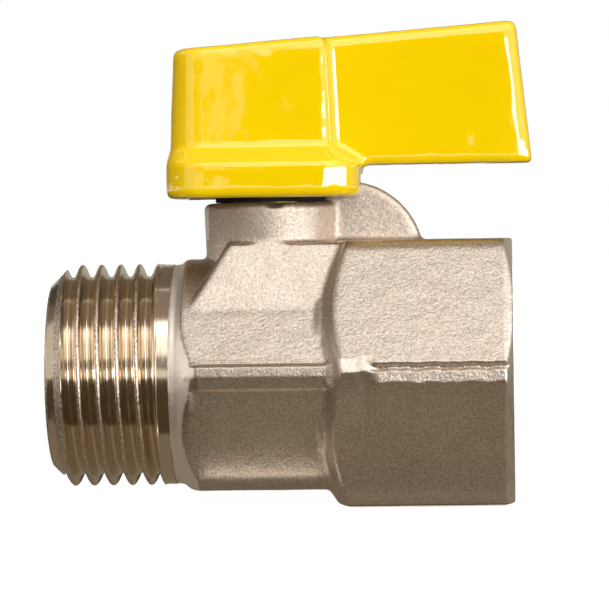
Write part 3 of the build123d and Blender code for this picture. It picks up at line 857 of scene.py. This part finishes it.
divided_seam(body.data)
x, y, z = points_of(body.data)
reach = np.abs(y)
level = z + RAGGED * wander(x)
shears = np.interp(level, *zip(*SHEARED))
tears = np.interp(level, *zip(*TORN))
whole = slide(x, BURR_END - SEAM_FADE, BURR_END + SEAM_FADE)
limit = HEX_SEAM - (shears * (1 - whole) + tears * whole)
at_hex = (x > HEX_FROM) & (reach > HEX_SEAM - SEAM_END) & (z > -SEAM_FOOT) & (z < SEAM_END)
hex_depth = np.clip(reach - limit, 0, None)
line = LINE_DEPTH * hump(z, LINE_PLACE, LINE_HALF)
step = STEP_DEPTH * slide(-z, -STEP_TOP, -STEP_FULL) * slide(z, STEP_FOOT, STEP_FULL)
ends = slide(x, MIDDLE_FROM, MIDDLE_FROM + SEAM_FADE) * slide(-x, -MIDDLE_TO, SEAM_FADE - MIDDLE_TO)
middle_depth = (line + step) * ends
at_middle = (x < MIDDLE_TO) & (reach > MIDDLE_SEAM - SEAM_ZONE) & (z > -SEAM_FOOT) & (z < SEAM_ZONE)
depth = np.where(at_hex, hex_depth, 0.0) + np.where(at_middle, middle_depth, 0.0)
nick = NICK_DEPTH * hump(x, NICK_PLACE, NICK_WIDTH / 2)
nick = nick * slide(z, BOSS_FACE - NICK_FOOT, BOSS_FACE - NICK_RIM)
nick = np.where(y < -NICK_REACH, nick, 0.0)
put_points(body.data, x, y - np.sign(y) * depth, z - nick)
flowed(body, SEAM_ROUNDS, FLOW_SHARE)
print("points on the seam", int(at_hex.sum() + at_middle.sum()))

# %% [markdown]
# The die's own skin is never quite flat. A noise that is fixed in the object moves every point in a little.
# Then the bores are drilled: one tool carries the inside thread, the other is the drill for the stem.
# The rebuilt skin spends as many squares on a flat as on a corner, so at the end the flats are thinned.

# %% Forged body: uneven skin and sharp bores
DIE_WAVE = 2.4
DIE_DEPTH = 0.07
TAP_STEP = 0.12
TAP_SIDES = 240
DRILL_SIDES = 96
MOST_TRIANGLES = 190000


def skin_tree():
    """Move every point in along its normal, by a noise with lumps of a named size."""
    tree, given = new_tree("forged_skin", ("Lump size", "Depth"))
    scale = add(tree, "ShaderNodeMath", {0: 1.0, 1: given["Lump size"]}, operation="DIVIDE")
    lumps = {"Vector": add(tree, "GeometryNodeInputPosition"), "Scale": scale, "Detail": 1.0}
    lumps = add(tree, "ShaderNodeTexNoise", lumps)
    inward = add(tree, "ShaderNodeMath", {0: given["Depth"], 1: -1.0}, operation="MULTIPLY")
    depth = add(tree, "ShaderNodeMath", {0: lumps, 1: inward}, operation="MULTIPLY")
    shift = {0: add(tree, "GeometryNodeInputNormal"), "Scale": depth}
    shift = add(tree, "ShaderNodeVectorMath", shift, operation="SCALE")
    shaped = add(tree, "GeometryNodeSetPosition", {"Geometry": given["Geometry"], "Offset": shift})
    close_tree(tree, shaped, given["Finish"])
    return tree


forged_skin = skin_tree()
plated = finishes["forged_nickel_plated_brass"]
run_tree(body, forged_skin, {"Lump size": DIE_WAVE * MM, "Depth": DIE_DEPTH * MM, "Finish": plated})

bore = [(JOINT_PLACE - BEYOND, JOINT_BORE), (-CAVITY_REACH, JOINT_BORE), (-CAVITY_REACH, CAVITY_RADIUS)]
bore += [(CAVITY_REACH, CAVITY_RADIUS), (CAVITY_REACH, SEAT_POCKET_RADIUS)]
bore += [(SEAT_POCKET_DEPTH, SEAT_POCKET_RADIUS), (SEAT_POCKET_DEPTH, PASSAGE), (PORT_FLOOR, PASSAGE)]
bore += [(place, PORT_RADIUS) for place in evenly(PORT_FLOOR, PORT_FACE - PORT_CHAMFER, TAP_STEP)]
bore += [(PORT_FACE + BEYOND, PORT_RADIUS + PORT_CHAMFER + BEYOND)]
tap = lathe("tap", bore, TAP_SIDES, closed=False)
tap_sizes = dict(male_thread_sizes)
tap_sizes["Major radius"] = PORT_RADIUS * MM
tap_sizes["Thread start"] = (PORT_FLOOR + 2 * RUN_OUT) * MM
tap_sizes["Thread end"] = (PORT_FACE - PORT_CHAMFER + RUN_OUT) * MM
run_tree(tap, pipe_thread, tap_sizes)
drilled(body, tap)
hole = [(RUN_OUT, STEM_POCKET), (STEM_POCKET_TOP, STEM_POCKET), (STEM_POCKET_TOP, STEM_BORE)]
hole += [(BOSS_FACE + BEYOND, STEM_BORE)]
drilled(body, lathe("stem_drill", hole, DRILL_SIDES, closed=False, turn=ABOUT_Z))
thinned(body, MOST_TRIANGLES)
print("body triangles", triangles_of(body.data))

# %% [markdown]
# Some of the skin was cut after forging: the cone and the neck at the male side and the port, and lightly the
# end chamfer of the hexagon and the lip of the seam. Those points get the attribute that the finish reads.
# What stands over the hexagon, the boss and the lug, gets the attribute for a coarser skin.

# %% Forged body: where the skin is cut
NECK_PLACE = -8.6
CONE_ANGLE = 43.0
CONE_END = -5.8
HEX_END = 21.9
HALF_CUT = 0.4
HEX_TOP = 12.5
HEX_TOP_BLEND = 0.2
LIP_REACH = 0.6
LIP_FOOT = 0.4
LIP_TOP = 1.75
LIP_RAGGED = 0.3
LIP_FADE = 1.6
NEAR = 0.09
BODY_SHARP = 50

x, y, z = points_of(body.data)
radius = np.hypot(y, z)
cone = COLLAR_RADIUS + np.clip(x - NECK_PLACE, 0, None) * math.tan(math.radians(CONE_ANGLE))
turned = ((radius > cone - NEAR) & (x < CONE_END)) | (radius < PORT_RADIUS + NEAR) & (x > PORT_FLOOR)
level = z + LIP_RAGGED * wander(x)
on_lip = (np.abs(y) > HEX_SEAM - LIP_REACH) & (level > LIP_FOOT) & (level < LIP_TOP) & (x > HEX_FROM)
burnished = on_lip * slide(-x, -BURR_END, LIP_FADE - BURR_END)
cut = body.data.attributes.new("cut", "FLOAT", "POINT")
half_cut = HALF_CUT * np.maximum(burnished, x > HEX_END)
cut.data.foreach_set("value", np.maximum(turned.astype(float), half_cut))
coarse = body.data.attributes.new("coarse", "FLOAT", "POINT")
coarse.data.foreach_set("value", slide(z, HEX_TOP - HEX_TOP_BLEND, HEX_TOP + HEX_TOP_BLEND))

body.data.materials.clear()
body.data.materials.append(plated)
body.data.shade_smooth()
body.data.set_sharp_from_angle(angle=math.radians(BODY_SHARP))
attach(body, "body")
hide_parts("valve_body")
print("body faces", len(body.data.polygons))

# %% [markdown]
# ## Lever
#
# Thick paint rounds every edge of the casting under it. The same rebuild and flow give that softness, and the
# same noise, with wider lumps, gives the sag of the paint. The foot of the casting, in the gap over the boss,
# is given a near-black finish: painted shade for the shadow in that narrow gap. It is turned as a ring and
# joined on after the rebuild, with a second finish.

# %% Lever
LEVER_VOXEL = 0.21
PAINT_ROUNDS = 12
SAG_WAVE = 3.4
SAG_DEPTH = 0.1
SLEEVE_RADIUS = 5.3
SLEEVE_BORE = 3.9
SLEEVE_FOOT = 16.17
SLEEVE_TOP = 18.0

sleeve = [(SLEEVE_FOOT, SLEEVE_BORE), (SLEEVE_FOOT, SLEEVE_RADIUS)]
sleeve += [(SLEEVE_TOP, SLEEVE_RADIUS), (SLEEVE_TOP, SLEEVE_BORE)]
sleeve = lathe("sleeve", sleeve, DRILL_SIDES, closed=True, turn=ABOUT_Z)
lever = new_piece("painted_lever", merged_copy("handle"))
remeshed(lever, LEVER_VOXEL)
flowed(lever, PAINT_ROUNDS, FLOW_SHARE)
enamel = finishes["yellow_painted_casting"]
run_tree(lever, forged_skin, {"Lump size": SAG_WAVE * MM, "Depth": SAG_DEPTH * MM, "Finish": enamel})
painted = len(lever.data.polygons)
lever.data = joined("painted_lever", [lever.data, sleeve.data])
bpy.data.objects.remove(sleeve)
lever.data.materials.clear()
lever.data.materials.append(enamel)
# The foot's near-black tones are painted shade for the shadow in the gap under the skirt.
lever.data.materials.append(inner_finish("lever_foot_painted_shade", "#1C1A18", "#2A2724", 0.0, 0.6, 0.8, 0.5))
for face in lever.data.polygons:
    face.material_index = int(face.index >= painted)
lever.data.shade_smooth()
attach(lever, "lever")
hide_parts("handle")
print("lever faces", len(lever.data.polygons))
